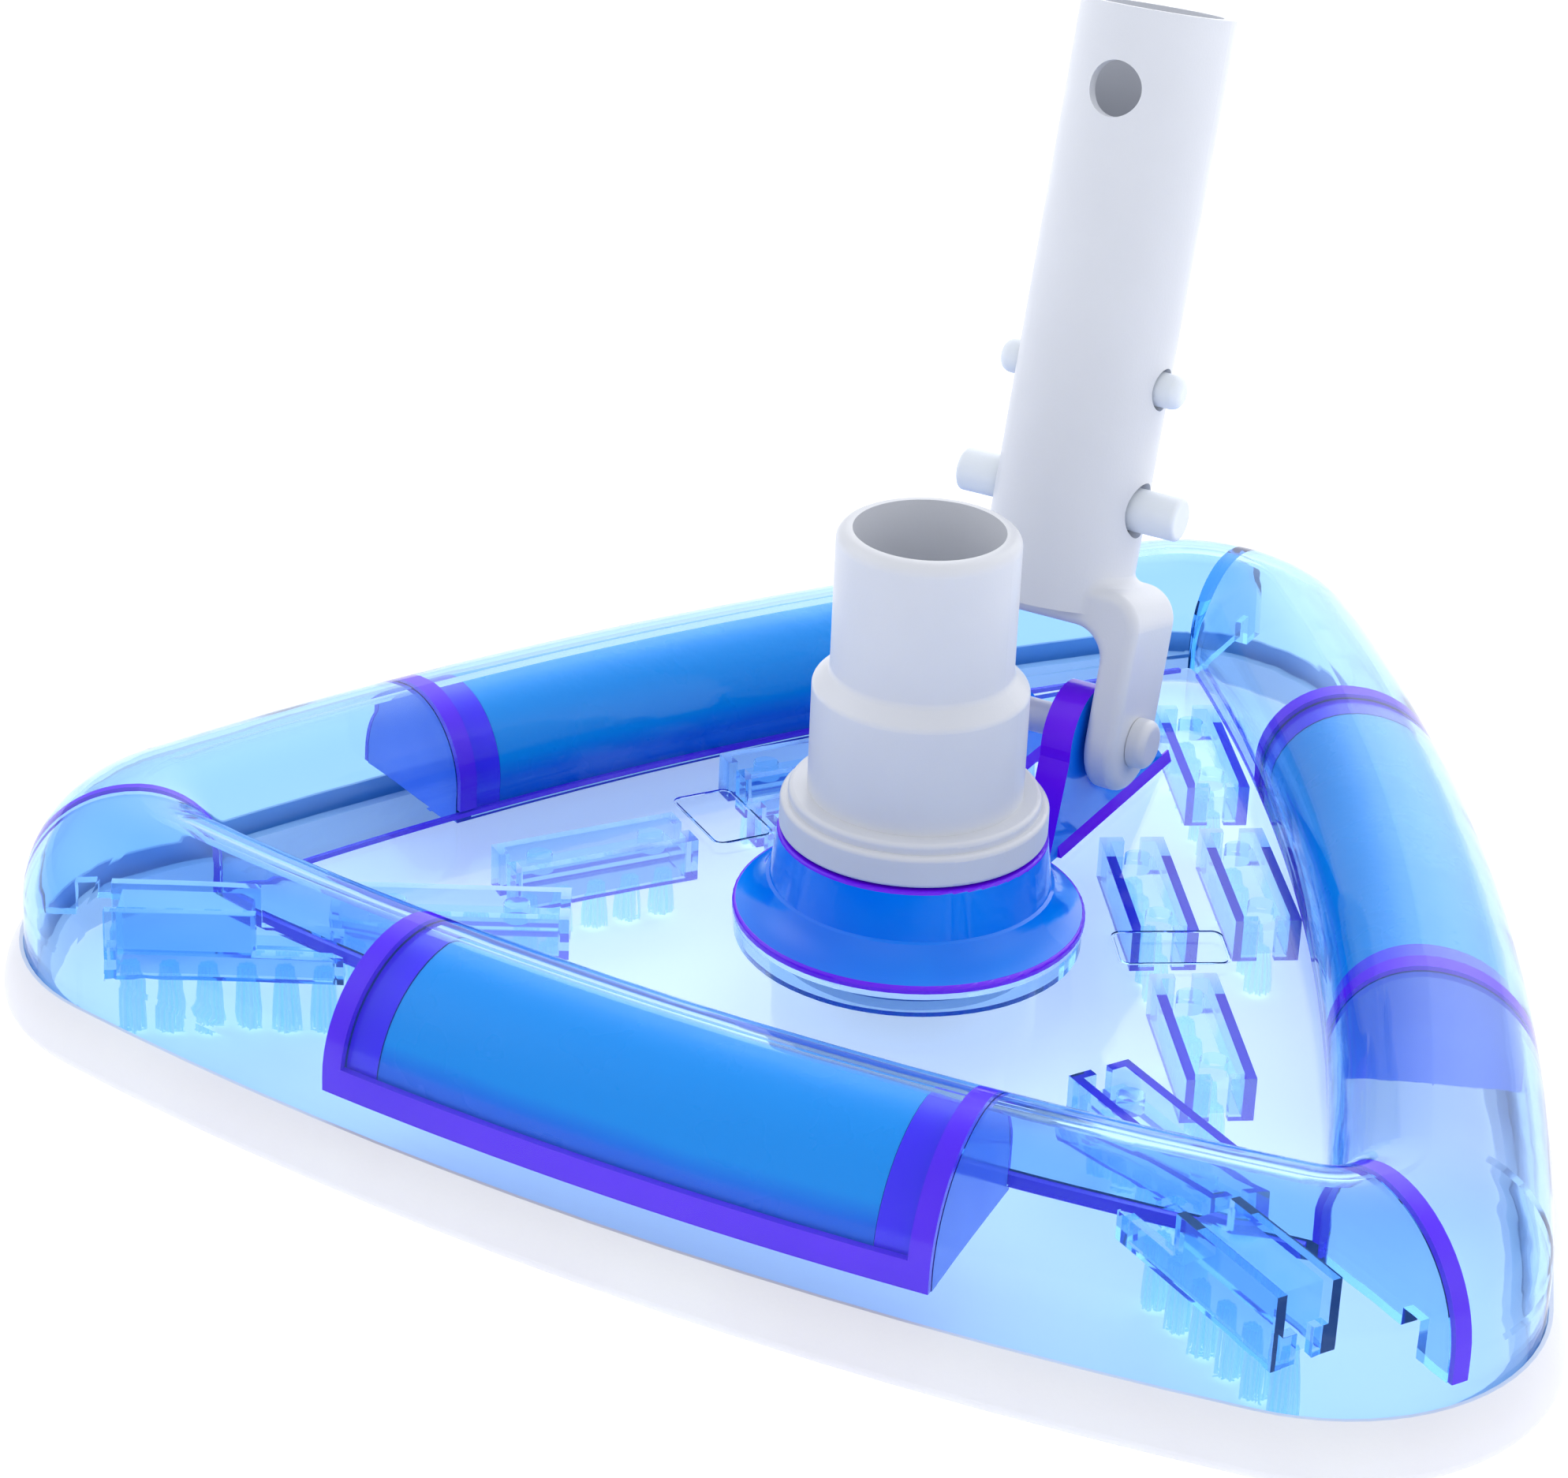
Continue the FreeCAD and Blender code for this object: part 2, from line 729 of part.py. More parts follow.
def make_connector():
    """The swivel hose connector: neck in the collar, flanges, and a spigot of each hose size."""
    body = new_body("swivel_connector")
    sketch = new_sketch(body, "connector_section", "XZ_Plane")
    large = cells.spigot_large
    small = cells.spigot_small
    bore = cells.spigot_bore
    easing = 0.9
    nose = 2.2
    draw(sketch, [
        (cells.neck_bore, cells.neck_bottom),
        (large - 0.3, cells.neck_bottom),
        (large - 0.3, cells.groove_low),
        (cells.groove_round, cells.groove_low),
        (cells.groove_round, cells.groove_high),
        (large, cells.groove_high),
        (large, cells.flange_bottom),
        (cells.flange_large - easing, cells.flange_bottom, easing),
        (cells.flange_large, cells.flange_bottom + easing),
        (cells.flange_large, cells.flange_middle - easing, easing),
        (cells.flange_large - easing, cells.flange_middle),
        (cells.flange_small, cells.flange_middle),
        (cells.flange_small, cells.flange_top - easing, easing),
        (cells.flange_small - easing, cells.flange_top),
        (large, cells.flange_top),
        (large, cells.shoulder_low - 0.6, 1.6),
        (large - 0.4, cells.shoulder_low + 0.4),
        (small + 0.4, cells.shoulder_high - 0.4, -1.6),
        (small, cells.shoulder_high + 0.6),
        (small, cells.spigot_top - nose, nose),
        (small - nose, cells.spigot_top),
        (bore, cells.spigot_top),
        (bore, cells.shoulder_low - 4),
        (cells.neck_bore, cells.shoulder_low - 10),
    ])
    revolve(body, "connector", sketch)
    place(body)


def make_retainer():
    """The snap ring under the collar that keeps the connector in."""
    body = new_body("swivel_retainer")
    sketch = new_sketch(body, "ring_section", "XZ_Plane")
    play = 0.02
    across = (cells.groove_round + play, cells.retainer_round)
    draw(sketch, slab(across, (cells.groove_low + play, cells.groove_high - play)))
    revolve(body, "ring", sketch)
    place(body)


def add_fork(body):
    """A bent strap: two legs with rounded ends, joined by a web under the tube."""
    inside = cells.leg_inside
    outside = cells.leg_outside
    half = cells.leg_half_width
    web = cells.web_bottom
    top = cells.web_top
    front = new_sketch(body, "fork_front", "XZ_Plane")
    draw(front, [
        (inside, -half),
        (outside, -half),
        (outside, top - cells.shoulder_round, cells.shoulder_round),
        (outside - cells.shoulder_round, top),
        (cells.shoulder_round - outside, top, cells.shoulder_round),
        (-outside, top - cells.shoulder_round),
        (-outside, -half),
        (-inside, -half),
        (-inside, web - cells.web_round, -cells.web_round),
        (cells.web_round - inside, web),
        (inside - cells.web_round, web, -cells.web_round),
        (inside, web - cells.web_round),
    ])
    extrude(body, "fork", front, 2 * half, symmetric=True)
    side = new_sketch(body, "fork_side", "YZ_Plane")
    draw(side, [
        (0.0, -half - 1),
        (0.0, -half, half),
        (half, 0.0),
        (half + 1, 0.0),
        (half + 1, -half - 1),
    ])
    waste = extrude(body, "leg_end", side, 3 * outside, cut=True, symmetric=True)
    mirror(body, "leg_ends", [waste], "XZ_Plane")
    document.recompute()
    add_fillet(body, "leg_edges", find_edges(body.Tip, is_leg_edge), cells.leg_easing)


def is_leg_edge(edge):
    """The long upright edges of the fork's legs, from which the easing runs all the way round."""
    box = edge.BoundBox
    upright = isinstance(edge.Curve, Part.Line) and box.ZLength > 10
    return upright and box.ZMax < cells.web_top.value


def is_root_edge(edge):
    """Where the tube stands on the web."""
    box = edge.BoundBox
    level = cells.web_top.value
    return abs(box.ZMin - level) < 0.01 and abs(box.ZMax - level) < 0.01 and isinstance(edge.Curve, Part.Circle)


def find_edges(feature, wanted):
    """Names of a feature's edges that meet a test."""
    edges = enumerate(feature.Shape.Edges, start=1)
    return [f"Edge{number}" for number, edge in edges if wanted(edge)]


def add_fillet(body, name, edges, radius):
    base = body.Tip
    fillet = body.newObject("PartDesign::Fillet", name)
    fillet.Base = (base, edges)
    fillet.Radius = radius.value
    fillet.setExpression("Radius", radius.text)
    body.Tip = fillet


def make_handle():
    body = new_body("handle")
    add_fork(body)
    outer = new_sketch(body, "tube_outline", "XY_Plane", (0.0, 0.0, cells.tube_bottom))
    draw_circle(outer, 0.0, 0.0, cells.tube_round)
    extrude(body, "tube", outer, cells.tube_top - cells.tube_bottom)
    document.recompute()
    add_fillet(body, "tube_root", find_edges(body.Tip, is_root_edge), cells.root_round)
    bore = new_sketch(body, "tube_bore_outline", "XY_Plane", (0.0, 0.0, cells.tube_floor))
    draw_circle(bore, 0.0, 0.0, cells.tube_bore)
    extrude(body, "tube_bore", bore, cells.tube_top, cut=True, flipped=True)
    holes = new_sketch(body, "side_holes_outline", "YZ_Plane")
    draw_circle(holes, 0.0, 0.0, cells.pin_fork_hole)
    draw_circle(holes, 0.0, cells.release_up, cells.release_hole)
    draw_circle(holes, 0.0, cells.catch_up, cells.catch_hole)
    extrude(body, "side_holes", holes, 3 * cells.leg_outside, cut=True, symmetric=True)
    lock = new_sketch(body, "lock_hole_outline", "XZ_Plane")
    draw_circle(lock, 0.0, cells.lock_hole_up, cells.lock_hole)
    extrude(body, "lock_hole", lock, cells.tube_round + 2, cut=True, flipped=True)
    place(body, handle_place)


def make_pin():
    """The pivot pin: shaft, round knob on the right and a low snap head on the left."""
    body = new_body("pivot_pin")
    sketch = new_sketch(body, "pin_section", "XZ_Plane")
    end = cells.leg_outside + 0.1
    shaft = cells.pin_round
    knob = cells.pin_knob_round
    tip = end + cells.pin_knob_long
    easing = 1.6
    snap = cells.pin_snap
    draw(sketch, [
        (0.0, -(end + 2 * snap)),
        (shaft - snap, -(end + 2 * snap)),
        (shaft + snap, -end),
        (shaft, -end),
        (shaft, end),
        (knob, end),
        (knob, tip - easing, easing),
        (knob - easing, tip),
        (0.0, tip),
    ])
    revolve(body, "pin", sketch)
    place(body, handle_place * Placement(Vector(), Rotation(Vector(0, 1, 0), 90)))


def add_button(body, name, up, radius, reach, nose):
    """A round button on the outside of a clip arm."""
    root = cells.clip_inside + cells.clip_thick / 2
    sketch = new_sketch(body, f"{name}_outline", "YZ_Plane", (0.0, 0.0, root))
    draw_circle(sketch, 0.0, up, radius)
    extrude(body, name, sketch, reach - root)
    document.recompute()
    rim = find_edges(body.Tip, lambda edge: edge.BoundBox.XMin > reach.value - 0.001)
    add_fillet(body, f"{name}_nose", rim, nose)


def make_clip_arm(side, turn):
    """A springy arm with the release button low down and the catch above it."""
    body = new_body(f"clip_arm_{side}")
    strip = new_sketch(body, "strip_outline", "XZ_Plane")
    across = (cells.clip_inside, cells.clip_inside + cells.clip_thick)
    draw(strip, slab(across, (cells.clip_bottom, cells.clip_hinge - cells.clip_gap)))
    extrude(body, "strip", strip, 2 * cells.clip_half_width, symmetric=True)
    add_button(body, "release", cells.release_up, cells.release_round, cells.release_reach, cells.release_nose)
    add_button(body, "catch", cells.catch_up, cells.catch_round, cells.catch_reach, cells.catch_nose)
    place(body, handle_place * Placement(Vector(), Rotation(Vector(0, 0, 1), turn)))


def make_clip_bend():
    """The bend at the top of the clip that joins the two arms."""
    body = new_body("clip_bend")
    sketch = new_sketch(body, "bend_outline", "XZ_Plane", (0.0, cells.clip_hinge, 0.0))
    inside = cells.clip_inside
    outside = cells.clip_inside + cells.clip_thick
    draw(sketch, [
        (outside, 0.0, outside),
        (0.0, outside, outside),
        (-outside, 0.0),
        (-inside, 0.0, -inside),
        (0.0, inside, -inside),
        (inside, 0.0),
    ])
    extrude(body, "bend", sketch, 2 * cells.clip_half_width, symmetric=True)
    place(body, handle_place)


def make_block(name, long, low):
    """A brush block, drawn about the middle of its channel."""
    half = long / 2 - cells.channel_wall - cells.block_gap
    width = (-cells.block_width / 2, cells.block_width / 2)
    body = new_body(name)
    sketch = new_sketch(body, "block_outline", "XY_Plane", (0.0, 0.0, low))
    draw(sketch, slab((-half, half), width))
    if low is edge_low:
        extrude(body, "block", sketch, cells.plate_top - cells.plate_thick - cells.block_gap - low)
        tall = new_sketch(body, "tall_outline", "XY_Plane", (0.0, 0.0, low))
        draw(tall, slab((cells.edge_start + 1 - long / 2, half), width))
        extrude(body, "tall", tall, cells.edge_top - 1 - low)
    else:
        extrude(body, "block", sketch, cells.block_thick)
        pegs = new_sketch(body, "peg_outline", "XY_Plane", (0.0, 0.0, low))
        draw_circle(pegs, -cells.peg_apart / 2, 0.0, cells.peg_round)
        draw_circle(pegs, cells.peg_apart / 2, 0.0, cells.peg_round)
        extrude(body, "pegs", pegs, cells.plate_top - cells.plate_thick - cells.block_gap - low)
    return body


def make_bristles(name, long, low):
    """A row of tufts, evenly spaced about the middle of its block."""
    count = 6 if long.value > 40 else 5
    body = new_body(name)
    sketch = new_sketch(body, "tuft_outline", "XY_Plane", (0.0, 0.0, cells.tuft_end))
    for index in range(count):
        draw_circle(sketch, (index - (count - 1) / 2) * cells.tuft_pitch, 0.0, cells.tuft_round)
    extrude(body, "tufts", sketch, low - cells.tuft_end)
    return body


def make_brushes():
    for name, (x, y, turn, long) in brushes.items():
        low = edge_low if name == "edge" else cells.block_bottom
        for side, sign in (("right", 1), ("left", -1)):
            angle = turn if sign > 0 else 180 - turn
            where = Placement(Vector(sign * x.value, y.value, 0), Rotation(Vector(0, 0, 1), angle))
            place(make_block(f"brush_block_{name}_{side}", long, low), where)
            place(make_bristles(f"bristles_{name}_{side}", long, low), where)


def place(body, where=Placement()):
    """Put a sub-part in the head's frame."""
    body.Placement = to_footprint * where


def check_and_export():
    """Stop on any failed feature or shape, then write one file for each sub-part."""
    document.recompute()
    for item in document.Objects:
        if "Invalid" in item.State or "Error" in item.State:
            raise RuntimeError(f"{item.Name} failed: {item.State}")
        if item.TypeId in ("PartDesign::Pocket", "PartDesign::Groove"):
            if item.Shape.Volume > item.BaseFeature.Shape.Volume - 0.001:
                raise RuntimeError(f"{item.Name} cuts nothing")
    os.makedirs("parts", exist_ok=True)
    for body in parts:
        shape = body.Shape
        if shape.isNull() or not shape.isValid():
            raise RuntimeError(f"{body.Label} has no valid shape")
        shape.exportStep(f"parts/{body.Label}.step")
        print(f"{body.Label}: {len(shape.Solids)} solids, {shape.Volume / 1000:.2f} cm3")


brushes = {}
for brush, (brush_x, brush_y, brush_turn, brush_long) in BRUSHES.items():
    brushes[brush] = (
        add_cell(f"brush_{brush}_across", brush_x),
        add_cell(f"brush_{brush}_back", brush_y),
        brush_turn,
        add_cell(f"brush_{brush}_long", brush_long),
    )
edge_low = cells.edge_bottom + 0.4

# The footprint runs from the bumper's front to its rear corner.
footprint_front = side_centre - cells.side_radius - cells.bumper_out
footprint_back = cells.corner_reach + cells.corner_radius + cells.bumper_out
to_footprint = Placement(Vector(0, -(footprint_front + footprint_back).value / 2, 0), Rotation())

# The handle leans back about the pin.
handle_place = Placement(
    Vector(0, cells.pin_back.value, cells.pin_up.value),
    Rotation(Vector(1, 0, 0), -cells.handle_lean.value),
)

make_housing()
make_bumper()
for side_name, side_turn in SIDES.items():
    make_cover(side_name, side_turn)
    make_weight(side_name, side_turn)
make_connector()
make_retainer()
make_handle()
make_pin()
make_clip_arm("right", 0)
make_clip_arm("left", 180)
make_clip_bend()
make_brushes()
check_and_export()
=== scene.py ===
"""Looks of the pool vacuum head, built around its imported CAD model. Metres throughout."""

import json
import math
import random

import bmesh
import bpy
from mathutils import Matrix, Vector


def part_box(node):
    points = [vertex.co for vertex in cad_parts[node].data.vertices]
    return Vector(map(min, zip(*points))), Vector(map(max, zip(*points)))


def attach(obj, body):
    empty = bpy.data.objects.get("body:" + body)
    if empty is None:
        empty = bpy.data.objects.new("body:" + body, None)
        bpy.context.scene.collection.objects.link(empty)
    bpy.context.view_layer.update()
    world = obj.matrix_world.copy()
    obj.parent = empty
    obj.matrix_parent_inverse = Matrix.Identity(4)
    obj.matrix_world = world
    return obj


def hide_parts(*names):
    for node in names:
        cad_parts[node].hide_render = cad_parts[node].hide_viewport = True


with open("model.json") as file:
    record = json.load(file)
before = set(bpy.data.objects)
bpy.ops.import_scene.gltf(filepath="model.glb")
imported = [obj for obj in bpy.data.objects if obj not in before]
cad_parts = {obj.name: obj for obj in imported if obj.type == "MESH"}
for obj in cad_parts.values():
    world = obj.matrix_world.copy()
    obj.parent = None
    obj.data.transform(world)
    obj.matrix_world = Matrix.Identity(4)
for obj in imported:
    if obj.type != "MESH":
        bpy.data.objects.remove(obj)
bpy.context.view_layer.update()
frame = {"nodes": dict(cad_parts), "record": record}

MM = 0.001

# Camera: where it is, which way it looks (degrees from +Y, and down), and its roll.
CAMERA_AT = (0.2921, -0.6130, 0.3716)
CAMERA_TURN = 28.46
CAMERA_DOWN = 25.99
CAMERA_ROLL = 2.39
CAMERA_LENS = 96.15

# The head's outline: three slightly bowed sides and three corners, round the hose collar's axis.
# d is the distance outside the edge of the flat plate, and sides and corners are three alike.
SIDE_RADIUS = 575.0 * MM
CORNER_REACH = 119.5 * MM
CORNER_RADIUS = 1.0 * MM
SIDE_BEHIND = (
    math.sqrt((SIDE_RADIUS - CORNER_RADIUS) ** 2 - (CORNER_REACH * math.cos(math.radians(30))) ** 2)
    - CORNER_REACH * math.sin(math.radians(30))
)
SIDE_EDGE = SIDE_RADIUS - SIDE_BEHIND
TURNS = {"front": 0, "right": 120, "left": 240}
low_corner, high_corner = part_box("swivel_connector")
COLLAR_AXIS = Vector((0.0, (low_corner.y + high_corner.y) / 2, 0.0))

# The domed rim's section
PLATE_TOP = 19.6 * MM
RIM_FOOT = 22.0 * MM
RIM_TOP = 39.5 * MM
RIM_CREST = 15.0 * MM  # d of the dome's highest line
RIM_INNER_ROUND = 15.2 * MM
RIM_OUTER_ROUND = 20.9 * MM

# Weight compartments: their half length to the inner and the outer face of an end wall, how far they
# are off the side's middle, their floor, and how near an end wall's face counts as on it
BAY_ROOM = 50.6 * MM
BAY_END = 54.2 * MM
BAY_AHEAD = 2.2 * MM
BAY_FLOOR = 16.0 * MM
BAY_END_SLACK = 2.5 * MM
COVER_RIM = 18.3 * MM

# Tinted edges: how far under the surface the tint starts and stops, and each strip's levels and reach
TINT_START = 0.3 * MM
TINT_STOP = 1.9 * MM
RIM_WALL = 2.3 * MM
PLATE_EDGE = (17.4 * MM, 19.3 * MM)
SIDE_REACH = 106.0 * MM
BAY_STRIP_TOP = 21.2 * MM
BAY_STRIP_BOTTOM = BAY_FLOOR + 0.2 * MM
RIB_FOOT = 14.3 * MM
# The front corners' ribs: turn, and half of the edge's thickness
RIB_EDGES = {"front_left": (120, 0.7 * MM), "front_right": (240, 1.5 * MM)}

# The ears on the plate, and the violet fillet at their foot
JUST_ABOVE_PLATE = PLATE_TOP + 0.05 * MM
EAR_OUTSIDE = 13.9 * MM
EAR_BACK = 57.0 * MM
EAR_CROWN = RIM_TOP + 8 * MM
EAR_SIDES = (7.7 * MM, 13.7 * MM)
EAR_ENDS = (COLLAR_AXIS.y + 32.0 * MM, COLLAR_AXIS.y + 80.0 * MM)
FILLET_OUT = 0.8 * MM
FILLET_UP = 2.2 * MM
FILLET_IN = 0.3 * MM

# The hose collar, out from its axis and up
COLLAR_FOOT = 31.6 * MM
COLLAR_HEM = 20.95 * MM
COLLAR_TOP = 34.9 * MM
COLLAR_ROUND = 24.0 * MM
COLLAR_TINT = 33.4 * MM

# Undersides of the channels and of the compartment walls
FOOT_LEVELS = (9.0 * MM, 16.0 * MM)

# Bristles
FILAMENTS = 22
FILAMENT_ROUND = 0.3 * MM
FILAMENT_SIDES = 5
FILAMENT_TURN = math.radians(137.5)


def add_camera():
    data = bpy.data.cameras.new("camera")
    data.sensor_width = 36.0
    data.lens = CAMERA_LENS
    data.clip_start = 0.01
    camera = bpy.data.objects.new("camera", data)
    turn = Matrix.Rotation(math.radians(CAMERA_TURN), 4, "Z")
    down = Matrix.Rotation(math.radians(90 - CAMERA_DOWN), 4, "X")
    roll = Matrix.Rotation(math.radians(CAMERA_ROLL), 4, "Z")
    camera.matrix_world = Matrix.Translation(CAMERA_AT) @ turn @ down @ roll
    bpy.context.scene.collection.objects.link(camera)
    bpy.context.scene.camera = camera


# ---------------------------------------------------------------- material helpers

def new_material(name):
    material = bpy.data.materials.new(name)
    material.use_nodes = True
    nodes = material.node_tree.nodes
    return material, nodes["Principled BSDF"]


def add_node(shader, kind, **inputs):
    """A node in the shader's tree, with plain values on some of its inputs."""
    node = shader.id_data.nodes.new(kind)
    for name, value in inputs.items():
        node.inputs[name.replace("_", " ")].default_value = value
    return node


def link(shader, source, target):
    shader.id_data.links.new(source, target)


def add_noise(shader, scale, detail=3.0, stretch=(1.0, 1.0, 1.0)):
    """Noise in the piece's own coordinates; scale is in features per metre."""
    place = add_node(shader, "ShaderNodeTexCoord")
    mapping = add_node(shader, "ShaderNodeMapping", Scale=stretch)
    noise = add_node(shader, "ShaderNodeTexNoise", Scale=scale, Detail=detail)
    link(shader, place.outputs["Object"], mapping.inputs["Vector"])
    link(shader, mapping.outputs["Vector"], noise.inputs["Vector"])
    return noise.outputs["Fac"]


def spread(shader, source, low, high):
    """Map a noise value onto a range."""
    node = add_node(shader, "ShaderNodeMapRange")
    node.inputs["From Min"].default_value = 0.3
    node.inputs["From Max"].default_value = 0.7
    node.inputs["To Min"].default_value = low
    node.inputs["To Max"].default_value = high
    link(shader, source, node.inputs["Value"])
    return node.outputs["Result"]


def vary_colour(shader, source, first, second):
    ramp = add_node(shader, "ShaderNodeValToRGB")
    ramp.color_ramp.elements[0].position = 0.35
    ramp.color_ramp.elements[0].color = (*first, 1.0)
    ramp.color_ramp.elements[1].position = 0.65
    ramp.color_ramp.elements[1].color = (*second, 1.0)
    link(shader, source, ramp.inputs["Fac"])
    link(shader, ramp.outputs["Color"], shader.inputs["Base Color"])


def add_bump(shader, source, distance, strength=1.0):
    bump = add_node(shader, "ShaderNodeBump", Strength=strength, Distance=distance)
    link(shader, source, bump.inputs["Height"])
    link(shader, bump.outputs["Normal"], shader.inputs["Normal"])


def moulded(name, first, second, low, high, grain=2200.0, depth=0.00002, skin=0.0):
    """Opaque moulded plastic: faint colour drift, uneven gloss and a fine grain."""
    material, shader = new_material(name)
    vary_colour(shader, add_noise(shader, 28.0), first, second)
    link(shader, spread(shader, add_noise(shader, 90.0), low, high), shader.inputs["Roughness"])
    add_bump(shader, add_noise(shader, grain, 2.0), depth)
    shader.inputs["Subsurface Weight"].default_value = skin
    shader.inputs["Subsurface Radius"].default_value = (0.004, 0.004, 0.005)
    shader.inputs["IOR"].default_value = 1.45
    return material


def away_from_plate(shader):
    """0 on the flat plate's faces, and 1 on the dome and on every upright wall, with a little drift."""
    place = add_node(shader, "ShaderNodeTexCoord")
    shape = add_node(shader, "ShaderNodeNewGeometry")
    height = add_node(shader, "ShaderNodeSeparateXYZ")
    facing = add_node(shader, "ShaderNodeSeparateXYZ")
    above = add_node(shader, "ShaderNodeMapRange")
    above.inputs["From Min"].default_value = PLATE_TOP + 0.3 * MM
    above.inputs["From Max"].default_value = PLATE_TOP + 3 * MM
    link(shader, place.outputs["Object"], height.inputs["Vector"])
    link(shader, height.outputs["Z"], above.inputs["Value"])
    link(shader, shape.outputs["True Normal"], facing.inputs["Vector"])
    flatness = add_node(shader, "ShaderNodeMath")
    flatness.operation = "ABSOLUTE"
    link(shader, facing.outputs["Z"], flatness.inputs[0])
    upright = add_node(shader, "ShaderNodeMapRange")
    upright.inputs["From Min"].default_value = 0.97
    upright.inputs["From Max"].default_value = 0.7
    link(shader, flatness.outputs["Value"], upright.inputs["Value"])
    either = add_node(shader, "ShaderNodeMath")
    either.operation = "MAXIMUM"
    link(shader, above.outputs["Result"], either.inputs[0])
    link(shader, upright.outputs["Result"], either.inputs[1])
    drift = add_node(shader, "ShaderNodeMath")
    drift.operation = "MULTIPLY_ADD"
    drift.inputs[1].default_value = 0.12
    link(shader, add_noise(shader, 22.0), drift.inputs[0])
    link(shader, either.outputs["Value"], drift.inputs[2])
    return drift.outputs["Value"]


def clear(name, tint, deep, density, roughness=(0.015, 0.05), see_through=1.0, flat_tint=None, index=1.28):
    """See-through tinted plastic: a little colour at each face and more with depth.

    The tint is for domes and walls, and the flat tint, if any, for the flat plate. The index is lower
    than real plastic's, so that fewer thin walls trap the light and turn black.
    """
    material, shader = new_material(name)
    if flat_tint:
        vary_colour(shader, away_from_plate(shader), flat_tint, tint)
    else:
        paler = tuple(min(1.0, part * 1.04) for part in tint)
        vary_colour(shader, add_noise(shader, 22.0), tint, paler)
    link(shader, spread(shader, add_noise(shader, 120.0), *roughness), shader.inputs["Roughness"])
    add_bump(shader, add_noise(shader, 60.0, 1.0), 0.00008)
    shader.inputs["Transmission Weight"].default_value = see_through
    shader.inputs["IOR"].default_value = index
    # A faint glow stands in for light that is caught inside a wall and leaves it deep blue.
    shader.inputs["Emission Color"].default_value = (0.0, 0.22, 0.8, 1.0)
    shader.inputs["Emission Strength"].default_value = 0.03
    output = next(node for node in shader.id_data.nodes if node.type == "OUTPUT_MATERIAL")
    let_through = add_node(shader, "ShaderNodeBsdfTransparent", Color=(*(flat_tint or tint), 1.0))
    path = add_node(shader, "ShaderNodeLightPath")
    mix = add_node(shader, "ShaderNodeMixShader")
    link(shader, path.outputs["Is Shadow Ray"], mix.inputs["Fac"])
    link(shader, shader.outputs["BSDF"], mix.inputs[1])
    link(shader, let_through.outputs["BSDF"], mix.inputs[2])
    link(shader, mix.outputs["Shader"], output.inputs["Surface"])
    absorb = add_node(shader, "ShaderNodeVolumeAbsorption", Color=(*deep, 1.0), Density=density)
    link(shader, absorb.outputs["Volume"], output.inputs["Volume"])
    return material


def coated(name, lower, upper, shade_levels):
    """Glossy dipped coat over a lumpy casting, with painted shade: deeper in colour low down and paler high
    up, for how the light falls.
    """
    material, shader = new_material(name)
    place = add_node(shader, "ShaderNodeTexCoord")
    split = add_node(shader, "ShaderNodeSeparateXYZ")
    # Painted shade and light: the colour runs from deep low down to paler high up, for how the light falls on
    # the weights.
    height = add_node(shader, "ShaderNodeMapRange")
    height.inputs["From Min"].default_value, height.inputs["From Max"].default_value = shade_levels
    drift = add_node(shader, "ShaderNodeMath")
    drift.operation = "MULTIPLY_ADD"
    drift.inputs[1].default_value = 0.25
    link(shader, place.outputs["Object"], split.inputs["Vector"])
    link(shader, split.outputs["Z"], height.inputs["Value"])
    link(shader, add_noise(shader, 60.0, stretch=(0.4, 0.4, 1.0)), drift.inputs[0])
    link(shader, height.outputs["Result"], drift.inputs[2])
    vary_colour(shader, drift.outputs["Value"], lower, upper)
    link(shader, spread(shader, add_noise(shader, 90.0), 0.22, 0.38), shader.inputs["Roughness"])
    add_bump(shader, add_noise(shader, 400.0, 2.0), 0.0001)
    shader.inputs["IOR"].default_value = 1.45
    return material


# The colour that light takes on with depth in the clear plastic
DEEP_BLUE = (0.05, 0.58, 0.955)

materials = {
    "clear_blue": clear(
        "clear_blue_shell", (0.62, 0.775, 0.925), DEEP_BLUE, 75.0, flat_tint=(0.94, 0.96, 0.975)),
    "clear_block": clear(
        "clear_block", (0.74, 0.89, 0.97), DEEP_BLUE, 8.0, (0.1, 0.2), 0.95, index=1.08),
    "deep_blue": moulded(
        "deep_blue_plastic", (0.0, 0.17, 0.92), (0.0, 0.24, 0.98), 0.06, 0.14, 60.0, 0.00006),
    "violet_edge": moulded(
        "violet_edge", (0.14, 0.001, 0.93), (0.19, 0.006, 1.0), 0.12, 0.24, 300.0, 0.00003),
    "wall_blue": moulded(
        "wall_blue", (0.10, 0.19, 0.80), (0.16, 0.27, 0.88), 0.08, 0.16, 40.0, 0.0002),
    # The weights' blue coat, with painted shade low down and painted light high up.
    "coated_iron": coated(
        "coated_iron", (0.0, 0.19, 0.80), (0.0, 0.48, 0.90), (BAY_FLOOR + 4 * MM, RIM_TOP - 6 * MM)),
    "white_vinyl": moulded(
        "white_vinyl", (0.78, 0.78, 0.83), (0.81, 0.82, 0.86), 0.42, 0.6, 1500.0, 0.00003, 0.15),
    "white_plastic": moulded(
        "white_plastic", (0.67, 0.69, 0.745), (0.70, 0.72, 0.775), 0.28, 0.42, skin=0.1),
    "clip_plastic": moulded(
        "clip_plastic", (0.78, 0.83, 0.90), (0.82, 0.87, 0.93), 0.3, 0.45, skin=0.15),
    "nylon_bristle": moulded(
        "nylon_bristle", (0.60, 0.79, 0.92), (0.70, 0.86, 0.95), 0.3, 0.5, skin=0.3),
}

# A faint glow stands in for the light that clear nylon pipes down its length.
nylon = materials["nylon_bristle"].node_tree.nodes["Principled BSDF"]
nylon.inputs["Emission Color"].default_value = (0.30, 0.55, 0.76, 1.0)
nylon.inputs["Emission Strength"].default_value = 0.35

node_slots = {part["node"]: part["material_slot"] for part in frame["record"]["subparts"]}


# ---------------------------------------------------------------- CAD nodes

